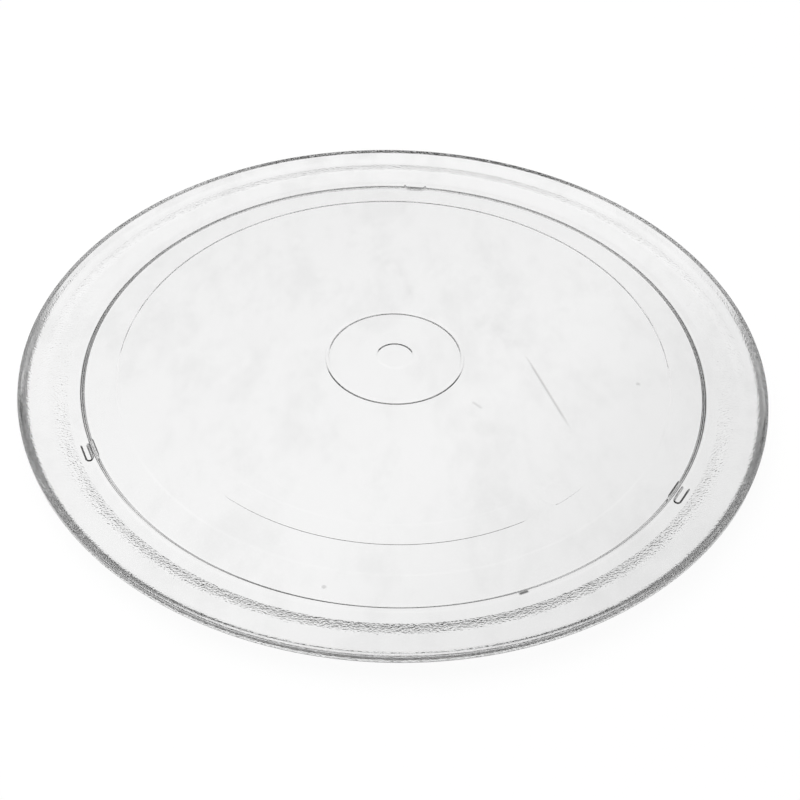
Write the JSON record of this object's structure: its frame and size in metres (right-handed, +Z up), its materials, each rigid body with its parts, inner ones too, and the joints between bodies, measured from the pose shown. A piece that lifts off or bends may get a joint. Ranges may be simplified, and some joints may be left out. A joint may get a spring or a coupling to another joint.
{
  "type": "microwave turntable plate",
  "caption": "Round clear glass turntable plate for a microwave oven: flat floor, sloping rim with a rounded lip, and underneath a foot ring with three lugs, a roller track inside it and a locating ring.",
  "frame": {"origin": "on the axis that the plate turns about, in the plane of the lugs' feet, on which it stands", "axes": "+Z up along the turning axis; +X and +Y in the plane of the floor, with one lug 3.4 degrees from +Y"},
  "size_m": [0.28, 0.28, 0.0115],
  "materials": {
    "pressed_glass": "clear and polished, with a pebbled underside to the rim"
  },
  "bodies": {
    "root": {"turntable_plate": "pressed_glass"}
  },
  "joints": []
}
